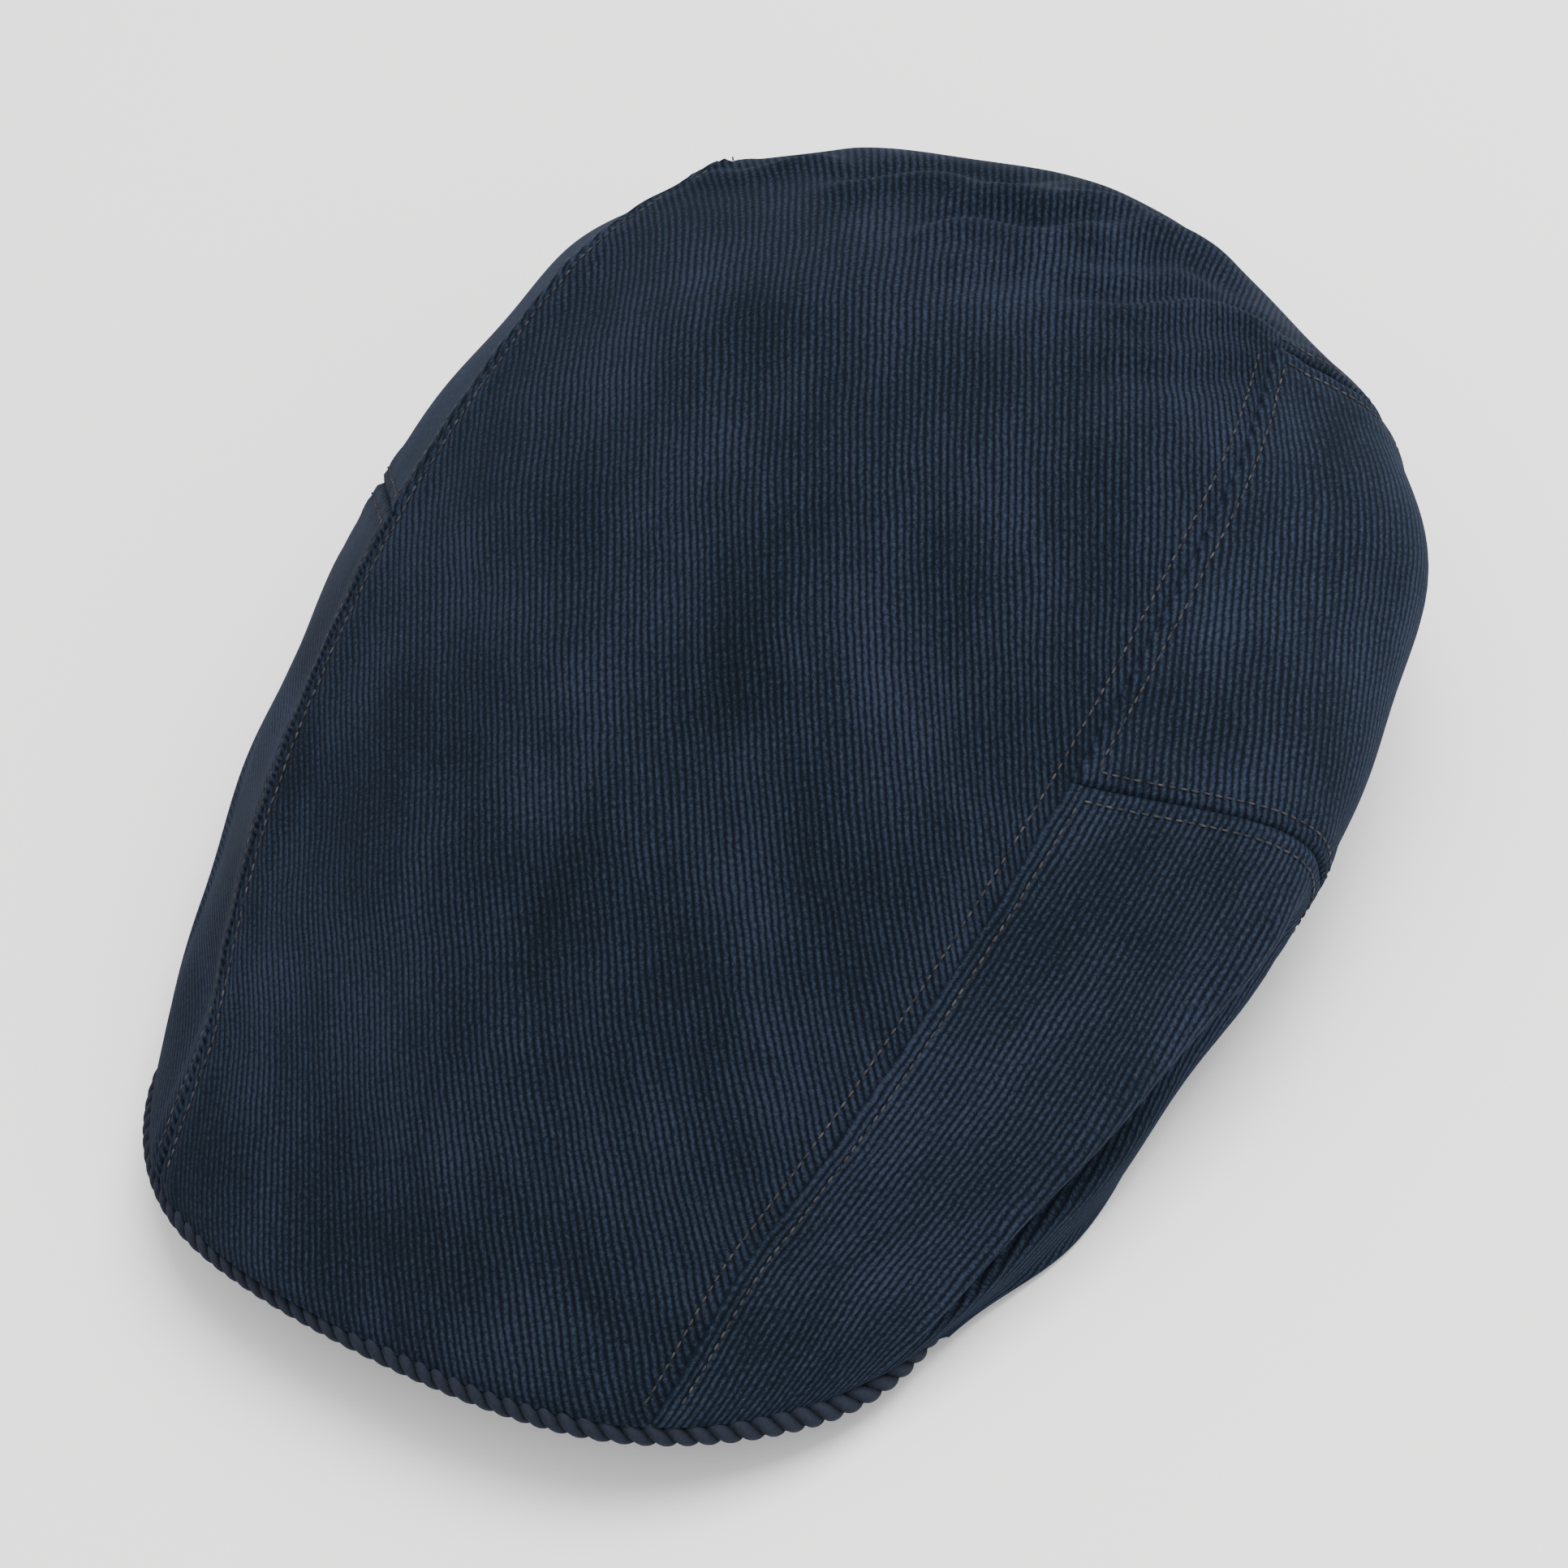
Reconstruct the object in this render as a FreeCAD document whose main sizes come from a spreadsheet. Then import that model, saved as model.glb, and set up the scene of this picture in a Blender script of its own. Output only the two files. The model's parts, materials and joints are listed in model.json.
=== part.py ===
import FreeCAD, Part
import math
import os
import Sketcher
from FreeCAD import Vector

# A soft corduroy flat cap.  -Y is the front (visor), +X the wearer's left, +Z up, and the
# resting plane of the sewn hem is z = 0.  Millimetres throughout.

os.makedirs("parts", exist_ok=True)
doc = FreeCAD.newDocument("flat_cap")

# ---------------------------------------------------------------- driving dimensions
SIZES = [
    ("cap_length", 286.0, "visor front to back bulge"),
    ("cap_width", 232.0, "bulge to bulge"),
    ("crown_height", 101.0, "resting plane to the crown's highest line"),
    ("origin_shift", 6.0, "moves the lines back, so the origin is under the outline's middle"),
    ("opening_length", 192.0, "sweatband, inside, front to back"),
    ("opening_width", 172.0, "sweatband, inside, side to side"),
    ("opening_centre", 11.0, "the opening's centre lies this far behind the origin"),
    ("band_thickness", 1.0, "sweatband cloth"),
    ("band_rear_top", 27.0, "sweatband's top edge at the back"),
    ("band_front_top", 41.0, "sweatband's top edge at the front"),
    ("band_front_bottom", 15.0, "sweatband's bottom edge at the front"),
    ("casing_start", 76.0, "where the elastic casing begins, behind the origin"),
    ("elastic_width", 20.0, "flat elastic"),
    ("elastic_thickness", 1.2, "flat elastic"),
    ("cloth_thickness", 1.2, "corduroy"),
    ("lining_thickness", 0.5, "lining satin"),
    ("interlining_thickness", 0.6, "fusible canvas behind the crown's front"),
    ("board_thickness", 2.0, "visor board"),
    ("visor_rise", 18.4, "arch of the visor's front edge"),
    ("visor_half_width", 97.0, "where the arch would meet the resting plane"),
    ("roll_diameter", 5.2, "padded roll round the visor's edge"),
    ("ply_gap", 0.2, "air between stacked plies"),
    ("seam_gap", 0.5, "each panel stops this far short of its seam line"),
    ("hem_thickness", 1.2, "turned-up hem"),
    ("label_length", 44.0, "blank lining label"),
    ("label_width", 28.0, "blank lining label"),
    ("tab_width", 18.0, "blank size tab"),
    ("tab_height", 14.0, "blank size tab"),
    ("label_thickness", 0.5, "woven label cloth"),
]
sheet = doc.addObject("Spreadsheet::Sheet", "sizes")
for row, (alias, value, note) in enumerate(SIZES, start=1):
    sheet.set(f"A{row}", note)
    sheet.set(f"B{row}", str(value))
    sheet.setAlias(f"B{row}", alias)
doc.recompute()


def size(alias):
    return float(sheet.get(alias))


CLOTH = size("cloth_thickness")
GAP = size("ply_gap")
BAND = size("band_thickness")

# ---------------------------------------------------------------- the cap's lines
# Each line has five points, front to back, for the +X half of a size whose length, width
# and height are those below; grade() stretches them to the sizes in the sheet.
PATTERN = Vector(232.0, 286.0, 101.0)
GRADE = Vector(size("cap_width") / PATTERN.x, size("cap_length") / PATTERN.y,
               size("crown_height") / PATTERN.z)

SHELL = {
    "middle": [(0, -145.5, 24.8), (0, -76, 64), (0, 0, 92), (0, 62, 101), (0, 115, 88)],
    "seam": [(58, -132, 22.8), (76, -69, 52), (83, -5, 73), (79.5, 56, 85), (67, 95.5, 84)],
    "bulge": [(86, -107, 12.5), (104.5, -54, 21), (116, 20, 35), (105, 77, 48), (81, 107, 46)],
    "hem": [(93.5, -88, 6), (99, -53, 2), (94, 0, 2), (78, 60, 2), (45, 95, 2)],
    "slope": [46, 46, 42, 48, 52],
    "back_bulge": (0, 136, 47),
    "back_hem": (0, 107, 2),
}
LINING = {
    "middle": [(0, -90, 41.5), (0, -64, 60), (0, 0, 86), (0, 60, 95), (0, 109, 83)],
    "seam": [(40, -80, 42), (62, -54, 55), (76, -5, 67), (72, 55, 79), (60, 89, 78)],
    "bulge": [(53, -70, 37), (83, -40, 42), (103, 14, 40), (93, 69, 48), (72, 98, 46)],
    "hem": [(58, -62, 30), (79, -36, 30), (87, 5, 32.5), (71, 62, 28), (41, 91, 28)],
    "slope": [16, 42, 50, 48, 52],
    "back_bulge": (0, 130, 48),
    "back_hem": (0, 102, 28),
}
VISOR_SIDE = [(51, -143), (82, -120), (92, -90), (84, -46)]
VISOR_EDGE = [(-x, y) for x, y in reversed(VISOR_SIDE)] + [(0, -149)] + VISOR_SIDE


def grade(point):
    return Vector(point[0] * GRADE.x, point[1] * GRADE.y + size("origin_shift"),
                  point[2] * GRADE.z)


def along(points, part):
    """A smooth line through evenly spaced points; part runs from 0 to 1."""
    spans = len(points) - 1
    place = min(max(part, 0.0), 1.0) * spans
    first = min(int(place), spans - 1)
    step = place - first
    before = points[first - 1] if first > 0 else points[0] * 2 - points[1]
    after = points[first + 2] if first + 2 <= spans else points[-1] * 2 - points[-2]
    start, end = points[first], points[first + 1]
    lean_in, lean_out = (end - before) * 0.5, (after - start) * 0.5
    square, cube = step ** 2, step ** 3
    point = (start * (2 * cube - 3 * square + 1) + lean_in * (cube - 2 * square + step)
             + end * (3 * square - 2 * cube) + lean_out * (cube - square))
    return Vector(point.x, point.y, max(point.z, 0))


def bezier(start, first, second, end, part):
    rest = 1 - part
    return (start * rest ** 3 + first * (3 * rest ** 2 * part)
            + second * (3 * rest * part ** 2) + end * part ** 3)


BULGE_AT = 0.6    # a wall runs 0 (seam), BULGE_AT (widest), 1 (hem)


def wall(seam, bulge, hem, slope, part):
    """One vertical section of the crown's wall, round from seam to bulge and in to the hem."""
    out = Vector(bulge.x - seam.x, bulge.y - seam.y, 0)
    fall = seam.z - bulge.z
    lean = math.radians(slope)
    reach = 0.33 * math.hypot(out.Length, fall)
    heading = Vector(out).normalize() * math.cos(lean) - Vector(0, 0, math.sin(lean))
    if part <= BULGE_AT:
        return bezier(seam, seam + heading * reach, bulge + Vector(0, 0, 0.45 * fall), bulge,
                      part / BULGE_AT)
    drop = bulge.z - hem.z
    tuck = Vector(hem.x - bulge.x, hem.y - bulge.y, 0)
    return bezier(bulge, bulge - Vector(0, 0, 0.4 * drop),
                  hem - tuck * 0.35 + Vector(0, 0, 0.3 * drop), hem,
                  (part - BULGE_AT) / (1 - BULGE_AT))


def line(lines, name, part):
    return along([grade(p) for p in lines[name]], part)


def side_point(lines, back, down):
    slope = along([Vector(s, 0, 0) for s in lines["slope"]], back).x
    return wall(line(lines, "seam", back), line(lines, "bulge", back),
                line(lines, "hem", back), slope, down)


def top_point(lines, across, back):
    """The crown's top strip: a shallow arch from seam to seam."""
    middle, seam = line(lines, "middle", back), line(lines, "seam", back)
    spread = across ** 2
    return Vector(seam.x * across, middle.y + (seam.y - middle.y) * spread,
                  middle.z + (seam.z - middle.z) * spread)


def back_point(lines, across, down):
    """The same strip carried on down the back of the cap."""
    middle = wall(line(lines, "middle", 1), grade(lines["back_bulge"]),
                  grade(lines["back_hem"]), 0.6 * lines["slope"][-1], down)
    corner = side_point(lines, 1, down)
    spread = across ** 2
    return Vector(corner.x * across, middle.y + (corner.y - middle.y) * spread,
                  middle.z + (corner.z - middle.z) * spread)


def steps(start, end, count):
    return [start + (end - start) * i / (count - 1) for i in range(count)]


# ---------------------------------------------------------------- cloth as closed solids
def face_through(grid):
    surface = Part.BSplineSurface()
    surface.interpolate(grid)
    return surface.toShape()


def ply(grid, inward, thickness):
    """A cloth ply: the face through the grid, thickened along one direction into the cap."""
    return face_through(grid).extrude(Vector(inward).normalize() * thickness)


def mirrored(shape):
    return shape.mirror(Vector(0, 0, 0), Vector(1, 0, 0))


NODES = []


def keep(item, label):
    item.Label = label
    NODES.append(item)
    return item


def cloth_piece(label, shape):
    item = doc.addObject("Part::Feature", label)
    item.Shape = shape
    item.Placement = FreeCAD.Placement()
    return keep(item, label)


def trimmed(start, end, length):
    """Ends of a 0..1 run, each pulled in by the seam gap over the given length."""
    share = size("seam_gap") / length
    return start + share, end - share


SIDE_SEAM = 0.5    # the side seam meets the top seam halfway along it


def side_grid(lines, start, end, down_count=11):
    first, last = trimmed(start, end, 240.0)
    top = trimmed(0.0, 1.0, 100.0)[0]
    return [[side_point(lines, back, down) for down in steps(top, 1.0, down_count)]
            for back in steps(first, last, 9)]


ACROSS = steps(-1 + size("seam_gap") / 80.0, 1 - size("seam_gap") / 80.0, 9)
LAP = 0.016   # per mm of cloth: how far down the back starts, lapped into the top's edge


def top_strip(lines, thickness):
    """The strip over the crown, fused with its own continuation down the back."""
    over = [[top_point(lines, a, back) for a in ACROSS] for back in steps(0, 1, 9)]
    fall = [[back_point(lines, a, down) for a in ACROSS] for down in steps(LAP * thickness, 1, 8)]
    strip = ply(over, (0, 0, -1), thickness).fuse(ply(fall, (0, -1, 0), thickness))
    return strip.removeSplitter()


# ---------------------------------------------------------------- crown
cloth_piece("crown_top_panel", top_strip(SHELL, CLOTH))
for place, start, end, inward in (("front", 0.0, SIDE_SEAM, (-0.93, 0.36, 0)),
                                  ("rear", SIDE_SEAM, 1.0, (-0.85, -0.5, 0))):
    panel = ply(side_grid(SHELL, start, end), inward, CLOTH)
    cloth_piece(f"side_{place}_panel_left", panel)
    cloth_piece(f"side_{place}_panel_right", mirrored(panel))

front_edge = 0.82
front_grid = [[top_point(SHELL, a, back) - Vector(0, 0, CLOTH / 0.8 + GAP)
               for a in steps(-front_edge, front_edge, 9)] for back in steps(0.03, 0.34, 7)]
cloth_piece("crown_front_interlining",
            ply(front_grid, (0, 0, -1), size("interlining_thickness")))

# ---------------------------------------------------------------- lining
SATIN = size("lining_thickness")
cloth_piece("lining_top", top_strip(LINING, SATIN))
lining_side = ply(side_grid(LINING, 0.0, 1.0, 7), (-1, 0, 0), SATIN)
cloth_piece("lining_side_left", lining_side)
cloth_piece("lining_side_right", mirrored(lining_side))

# ---------------------------------------------------------------- visor
HALF_LENGTH = size("opening_length") / 2
HALF_WIDTH = size("opening_width") / 2
CENTRE = size("opening_centre")


def opening_point(angle, outside=0.0, height=0.0):
    """On the opening's ellipse; angle 0 is the front, 90 the wearer's left."""
    turn = math.radians(angle)
    return Vector((HALF_WIDTH + outside) * math.sin(turn),
                  CENTRE - (HALF_LENGTH + outside) * math.cos(turn), height)


def arch(x, y):
    """Height of the visor's underside, which slopes up a little towards its front edge."""
    forward = min(max((-y - 86) / 55, 0), 1)
    rise = size("visor_rise") * (0.78 + 0.22 * forward)
    return rise * (1 - min(abs(x) / size("visor_half_width"), 1) ** 4)


def visor_edge(part, inset=0.0):
    """Outline of the visor, part from -1 to 1, pulled in towards the opening by inset."""
    point = along([grade((x, y, 0)) for x, y in VISOR_EDGE], (part + 1) / 2)
    return point + (Vector(0, -45, 0) - point).normalize() * inset


TIP_ANGLE = 62.0
ROLL = size("roll_diameter")
BOARD = size("board_thickness")


def visor_ply(inset, depth, thickness):
    """One layer of the visor between the opening and the edge roll."""
    lower = []
    for part in steps(-1, 1, 21):
        inner = opening_point(TIP_ANGLE * part, BAND + 0.8)
        outer = visor_edge(part, inset)
        row = [inner + (outer - inner) * share for share in steps(0, 1, 6)]
        lower.append([Vector(p.x, p.y, arch(p.x, p.y) + depth) for p in row])
    return face_through(lower).extrude(Vector(0, 0, thickness))


edge_inset = ROLL + 0.3
cloth_piece("visor_under_cover", visor_ply(edge_inset, 0.0, CLOTH))
cloth_piece("visor_board", visor_ply(edge_inset + 0.5, CLOTH + GAP, BOARD))
cloth_piece("visor_top_cover", visor_ply(edge_inset, CLOTH + 2 * GAP + BOARD, CLOTH))

roll_route = []
for part in steps(-0.68, 0.68, 19):
    centre = visor_edge(part, ROLL / 2)
    roll_route.append(Vector(centre.x, centre.y, arch(centre.x, centre.y) + ROLL / 2))
route = Part.BSplineCurve()
route.interpolate(roll_route)
across_route = Part.Circle(roll_route[0], route.tangent(route.FirstParameter)[0], ROLL / 2)
roll = Part.Wire(route.toShape()).makePipeShell([Part.Wire(across_route.toShape())], True, True)
cloth_piece("visor_edge_roll", roll)


# The hem lies flat between the crown's lower edge and the sweatband, from one visor tip
# round the back to the other; it is what the cap rests on, so its faces are truly flat.
HEM_START = 0.31
hem_left = [line(SHELL, "hem", back) for back in steps(HEM_START, 1, 11)]
hem_back = [back_point(SHELL, across, 1) for across in steps(1, -1, 9)[1:-1]]
hem_right = [Vector(-p.x, p.y, 0) for p in reversed(hem_left)]
inner_line, outer_line = [], []
for edge in hem_left + hem_back + hem_right:
    angle = math.degrees(math.atan2(edge.x / HALF_WIDTH, (CENTRE - edge.y) / HALF_LENGTH))
    inner = opening_point(angle, BAND + 0.5)
    outer = Vector(edge.x, edge.y, 0)
    inner_line.append(inner)
    outer_line.append(outer + (inner - outer).normalize() * (CLOTH + 0.9))


def curve_through(points):
    curve = Part.BSplineCurve()
    curve.interpolate(points)
    return curve.toShape()


hem_outline = Part.Wire([curve_through(inner_line), Part.makeLine(inner_line[-1], outer_line[-1]),
                         curve_through(outer_line[::-1]),
                         Part.makeLine(outer_line[0], inner_line[0])])
cloth_piece("hem_band", Part.Face(hem_outline).extrude(Vector(0, 0, size("hem_thickness"))))


# ---------------------------------------------------------------- sketched bodies
def body_with(label):
    body = doc.addObject("PartDesign::Body", label)
    return keep(body, label)


def plane_of(body, role):
    return next(f for f in body.Origin.OriginFeatures if f.Role == role)


def sketch_on(body, role, name):
    sketch = body.newObject("Sketcher::SketchObject", name)
    sketch.AttachmentSupport = (plane_of(body, role), "")
    sketch.MapMode = "FlatFace"
    return sketch


def polygon(sketch, corners):
    for start, end in zip(corners, corners[1:] + corners[:1]):
        sketch.addGeometry(Part.LineSegment(Vector(*start, 0), Vector(*end, 0)), False)
    count = len(corners)
    for i in range(count):
        sketch.addConstraint(Sketcher.Constraint("Coincident", i, 2, (i + 1) % count, 1))


def pad(body, sketch, alias, name):
    feature = body.newObject("PartDesign::Pad", name)
    feature.Profile = sketch
    feature.setExpression("Length", f"sizes.{alias}")
    return feature


def cut_through(body, sketch, name):
    feature = body.newObject("PartDesign::Pocket", name)
    feature.Profile = sketch
    feature.Type = "ThroughAll"
    feature.Midplane = True
    return feature


def ellipse_ring(sketch, outside, thickness):
    for grow in (outside + thickness, outside):
        centre = Vector(0, CENTRE, 0)
        sketch.addGeometry(Part.Ellipse(Vector(0, CENTRE + HALF_LENGTH + grow, 0),
                                        Vector(HALF_WIDTH + grow, CENTRE, 0), centre), False)


def band_piece(label, outside, thickness_alias, keep_rear):
    """A length of the elliptical band, cut to its front or rear part and its slanted edges."""
    body = body_with(label)
    ring = sketch_on(body, "XY_Plane", f"{label}_ring")
    ellipse_ring(ring, outside, size(thickness_alias))
    pad(body, ring, "band_front_top", f"{label}_pad")
    far = 130.0
    start = size("casing_start")
    rear_top = size("band_rear_top")
    split = sketch_on(body, "YZ_Plane", f"{label}_split")
    if keep_rear:
        polygon(split, [(-far, -5), (start + 0.3, -5), (start + 0.3, 60), (-far, 60)])
    else:
        polygon(split, [(start, -5), (far, -5), (far, 60), (start, 60)])
    cut_through(body, split, f"{label}_end")
    top = sketch_on(body, "YZ_Plane", f"{label}_top_edge")
    polygon(top, [(-far, 60), (-far, size("band_front_top") + 4), (-88, size("band_front_top")),
                  (50, rear_top), (far, rear_top), (far, 60)])
    cut_through(body, top, f"{label}_top_cut")
    return body


sweatband_front = band_piece("sweatband_front", 0.0, "band_thickness", False)
under = sketch_on(sweatband_front, "YZ_Plane", "sweatband_front_bottom_edge")
polygon(under, [(-130, -5), (-44, -5), (-44, 0), (-88, size("band_front_bottom")),
                (-130, size("band_front_bottom"))])
cut_through(sweatband_front, under, "sweatband_front_bottom_cut")
band_piece("sweatband_rear", 0.0, "band_thickness", True)

elastic = body_with("sweatband_elastic")
ring = sketch_on(elastic, "XY_Plane", "elastic_ring")
ellipse_ring(ring, BAND + 0.2, size("elastic_thickness"))
ring.AttachmentOffset = FreeCAD.Placement(Vector(0, 0, 4), FreeCAD.Rotation())
pad(elastic, ring, "elastic_width", "elastic_pad")
front_off = sketch_on(elastic, "YZ_Plane", "elastic_split")
polygon(front_off, [(-130, -5), (size("casing_start") + 4, -5), (size("casing_start") + 4, 60),
                    (-130, 60)])
cut_through(elastic, front_off, "elastic_end")

# ---------------------------------------------------------------- labels, both blank
def rectangle_body(label, width_alias, height_alias, thickness_alias, placement):
    body = body_with(label)
    sketch = sketch_on(body, "XY_Plane", f"{label}_outline")
    across, up = size(width_alias) / 2, size(height_alias) / 2
    polygon(sketch, [(-across, -up), (across, -up), (across, up), (-across, up)])
    for i in (0, 2):
        sketch.addConstraint(Sketcher.Constraint("Horizontal", i))
        sketch.addConstraint(Sketcher.Constraint("Vertical", i + 1))
    width = sketch.addConstraint(Sketcher.Constraint("DistanceX", 0, 1, 0, 2, 2 * across))
    height = sketch.addConstraint(Sketcher.Constraint("DistanceY", 1, 1, 1, 2, 2 * up))
    sketch.setExpression(f"Constraints[{width}]", f"sizes.{width_alias}")
    sketch.setExpression(f"Constraints[{height}]", f"sizes.{height_alias}")
    pad(body, sketch, thickness_alias, f"{label}_pad")
    body.Placement = placement
    return body


label_seat = top_point(LINING, 0, 0.62)
rectangle_body("lining_label", "label_length", "label_width", "label_thickness",
               FreeCAD.Placement(label_seat - Vector(0, 0, 3.6),
                                 FreeCAD.Rotation(Vector(1, 0, 0), 11)))
tab_seat = Vector(0, CENTRE + HALF_LENGTH - 1.2, size("band_rear_top") - 8)
rectangle_body("size_tab", "tab_width", "tab_height", "label_thickness",
               FreeCAD.Placement(tab_seat, FreeCAD.Rotation(Vector(1, 0, 0), 90)))

# ---------------------------------------------------------------- check and export
doc.recompute()
for item in doc.Objects:
    if "Invalid" in item.State or "Error" in item.State:
        raise RuntimeError(f"{item.Label}: {item.State}")
for item in NODES:
    if item.Shape.isNull() or not item.Shape.isValid():
        raise RuntimeError(f"{item.Label}: bad shape")
    item.Shape.exportStep(f"parts/{item.Label}.step")
    box = item.Shape.BoundBox
    print(f"{item.Label:26s} {item.Shape.Volume:9.0f} mm3  "
          f"x {box.XMin:7.1f} {box.XMax:7.1f}  y {box.YMin:7.1f} {box.YMax:7.1f}  "
          f"z {box.ZMin:6.1f} {box.ZMax:6.1f}")
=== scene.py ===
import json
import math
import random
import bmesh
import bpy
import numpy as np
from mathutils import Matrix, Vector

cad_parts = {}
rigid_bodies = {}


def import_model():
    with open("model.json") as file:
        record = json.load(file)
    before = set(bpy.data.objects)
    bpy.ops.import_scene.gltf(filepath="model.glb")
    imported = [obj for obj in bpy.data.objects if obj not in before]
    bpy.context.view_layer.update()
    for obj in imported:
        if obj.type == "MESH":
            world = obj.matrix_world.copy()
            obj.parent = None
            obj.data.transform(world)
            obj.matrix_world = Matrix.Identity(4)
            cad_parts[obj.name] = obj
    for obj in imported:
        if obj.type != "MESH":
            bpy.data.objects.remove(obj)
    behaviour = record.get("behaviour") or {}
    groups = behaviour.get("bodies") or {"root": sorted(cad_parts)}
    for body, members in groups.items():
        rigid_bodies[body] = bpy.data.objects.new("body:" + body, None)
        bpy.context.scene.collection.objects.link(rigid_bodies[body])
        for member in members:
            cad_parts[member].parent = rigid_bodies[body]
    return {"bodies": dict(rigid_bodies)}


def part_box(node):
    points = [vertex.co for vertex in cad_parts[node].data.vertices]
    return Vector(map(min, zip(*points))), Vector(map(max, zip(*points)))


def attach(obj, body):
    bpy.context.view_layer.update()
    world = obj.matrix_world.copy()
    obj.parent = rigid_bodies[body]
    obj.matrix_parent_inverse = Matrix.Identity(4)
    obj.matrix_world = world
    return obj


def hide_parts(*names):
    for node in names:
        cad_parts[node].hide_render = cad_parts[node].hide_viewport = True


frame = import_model()

# %% [markdown]
# # A corduroy flat cap
# This lesson dresses a plain CAD cap in cloth.  The CAD model gives the size and place of every
# panel; here each panel is cut again from the same five-point lines as a fine grid, and the
# grid is then shaped the way a tailor's cloth shapes itself: pulled down at the seams, puckered
# by the stitching, swollen over the turned-in edges and wrinkled where it falls down the back.
# A cloth simulation would find a shape of its own; working on the pattern keeps every seam
# where the design has it, which is why the folds are modelled by rule.

random.seed(7)
MM = 0.001
scene = bpy.context.scene
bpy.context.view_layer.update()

# %% [markdown]
# ## The cap's lines
# A cap is cut from a few lines: the middle of the crown, the top seam, the widest line of the
# wall and the hem.  Each has five points from front to back, in millimetres, for the wearer's
# left half (+X).  The lining has its own set, a little inside the shell.

# %% The shell's and the lining's lines


def rows(*points):
    return np.array(points, float)


SHELL = {
    "middle": rows((0, -139.5, 24.8), (0, -70, 64), (0, 6, 92), (0, 68, 101), (0, 121, 88)),
    "seam": rows((58, -126, 22.8), (76, -63, 52), (83, 1, 73), (79.5, 62, 85),
                 (67, 101.5, 84)),
    "bulge": rows((86, -101, 11.5), (104.5, -48, 21), (116, 26, 35), (105, 83, 48),
                  (81, 113, 46)),
    "hem": rows((93.5, -82, 5), (99, -47, 1.5), (94, 6, 1.5), (78, 66, 1.5), (45, 101, 1.5)),
    "slope": rows(46, 46, 42, 48, 52)[:, None],
    "back_bulge": rows(0, 142, 47),
    "back_hem": rows(0, 113, 1.5),
}
LINING = {
    "middle": rows((0, -84, 41.5), (0, -58, 60), (0, 6, 86), (0, 66, 95), (0, 115, 83)),
    "seam": rows((40, -74, 42), (62, -48, 55), (76, 1, 67), (72, 61, 79), (60, 95, 78)),
    "bulge": rows((53, -64, 37), (83, -34, 42), (103, 20, 40), (93, 75, 48), (72, 104, 46)),
    "hem": rows((58, -56, 30), (79, -30, 30), (87, 11, 32.5), (71, 68, 28), (41, 97, 28)),
    "slope": rows(16, 42, 50, 48, 52)[:, None],
    "back_bulge": rows(0, 136, 48),
    "back_hem": rows(0, 108, 28),
}
SHELL_CLOTH, COVER_CLOTH, SATIN_CLOTH, LABEL_CLOTH = 1.0, 0.8, 0.4, 0.5    # thicknesses
SEAM_JOIN = 0.5    # the side seam leaves the top seam halfway along it
WIDEST = 0.6       # a wall section runs 0 at the seam, WIDEST at the bulge, 1 at the hem
UP = rows(0, 0, 1)


def along(points, part):
    """Smooth line through evenly spaced points, part running from 0 to 1."""
    spans = len(points) - 1
    place = np.clip(part, 0, 1) * spans
    first = np.minimum(place.astype(int), spans - 1)
    step = (place - first)[..., None]
    padded = np.vstack([2 * points[0] - points[1], points, 2 * points[-1] - points[-2]])
    before, start, end, after = (padded[first + k] for k in range(4))
    square, cube = step ** 2, step ** 3
    return (start * (2 * cube - 3 * square + 1) + (end - before) / 2 * (cube - 2 * square + step)
            + end * (3 * square - 2 * cube) + (after - start) / 2 * (cube - square))


def bezier(start, first, second, end, part):
    part = part[..., None]
    rest = 1 - part
    return (start * rest ** 3 + 3 * first * rest ** 2 * part
            + 3 * second * rest * part ** 2 + end * part ** 3)


def wall(seam, bulge, hem, slope, part):
    """One section of the wall, from the seam round to the bulge and in to the hem."""
    out = (bulge - seam) * rows(1, 1, 0)
    fall = (seam - bulge)[..., 2:]
    span = np.linalg.norm(out, axis=-1, keepdims=True)
    lean = np.radians(slope)
    heading = out / span * np.cos(lean) - UP * np.sin(lean)
    upper = bezier(seam, seam + heading * 0.33 * np.hypot(span, fall), bulge + UP * 0.45 * fall,
                   bulge, np.clip(part / WIDEST, 0, 1))
    drop = (bulge - hem)[..., 2:]
    tuck = (hem - bulge) * rows(1, 1, 0)
    lower = bezier(bulge, bulge - UP * 0.4 * drop, hem - tuck * 0.35 + UP * 0.3 * drop, hem,
                   np.clip((part - WIDEST) / (1 - WIDEST), 0, 1))
    return np.where((part <= WIDEST)[..., None], upper, lower)


def side_surface(lines, down, back):
    return wall(along(lines["seam"], back), along(lines["bulge"], back),
                along(lines["hem"], back), along(lines["slope"], back), down)


def crown_surface(lines, across, run):
    """across -1..1 from seam to seam; run 0..1 over the top, 1..2 down the back."""
    back, down = np.clip(run, 0, 1), np.clip(run - 1, 0, 1)
    middle, seam = along(lines["middle"], back), along(lines["seam"], back)
    spread = (across ** 2)[..., None]
    over = middle * (1 - spread) + seam * spread
    over[..., 0] = seam[..., 0] * across
    end = np.ones_like(down)
    centre = wall(along(lines["middle"], end), lines["back_bulge"] + 0 * middle,
                  lines["back_hem"] + 0 * middle, 0.6 * along(lines["slope"], end), down)
    corner = side_surface(lines, down, end)
    fall = centre * (1 - spread) + corner * spread
    fall[..., 0] = corner[..., 0] * across
    return np.where((run <= 1)[..., None], over, fall)


print("crown centre at the top seam's middle:",
      crown_surface(SHELL, np.zeros(1), np.full(1, 0.5)).round(1))

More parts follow.
